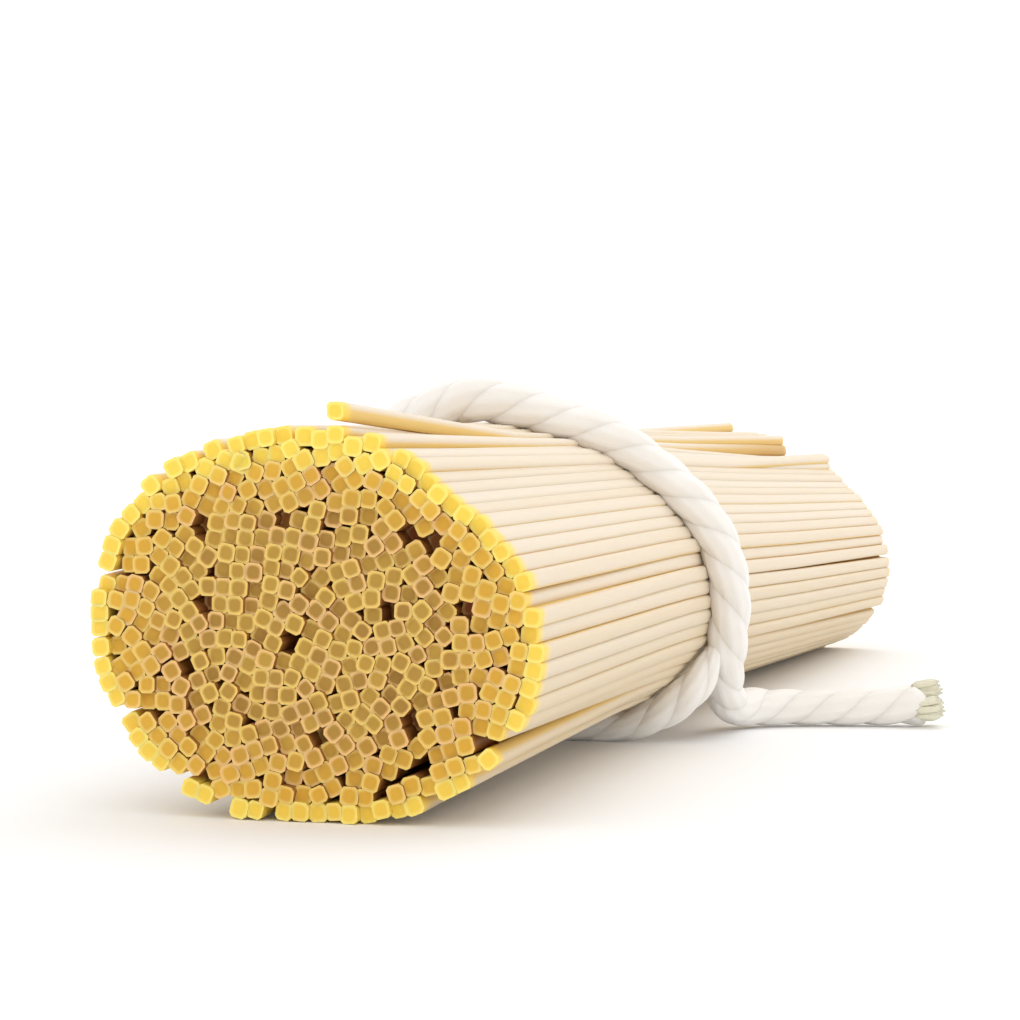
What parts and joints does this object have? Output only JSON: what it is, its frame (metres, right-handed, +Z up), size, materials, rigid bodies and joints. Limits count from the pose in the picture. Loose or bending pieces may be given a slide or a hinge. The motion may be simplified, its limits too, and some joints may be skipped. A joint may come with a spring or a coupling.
{
  "type": "bundle of dry spaghetti",
  "caption": "Bundle of long, square-cut dry pasta strands lying on its side, held by one turn of thick soft cotton rope with a short loose end",
  "frame": {"origin": "middle of the bundle's footprint, on the surface it lies on", "axes": "+Y along the strands from the near cut face to the far one, +Z up, +X to the side where the rope's loose end lies"},
  "size_m": [0.0816, 0.255, 0.0511],
  "materials": {
    "dry_pasta": "smooth dry pasta, slightly translucent, golden yellow at the cut ends and pale along the strands",
    "cotton_rope": "soft twisted cream-white cotton"
  },
  "bodies": {
    "root": {"spaghetti_bundle": "dry_pasta", "tie_rope": "cotton_rope"}
  },
  "joints": []
}
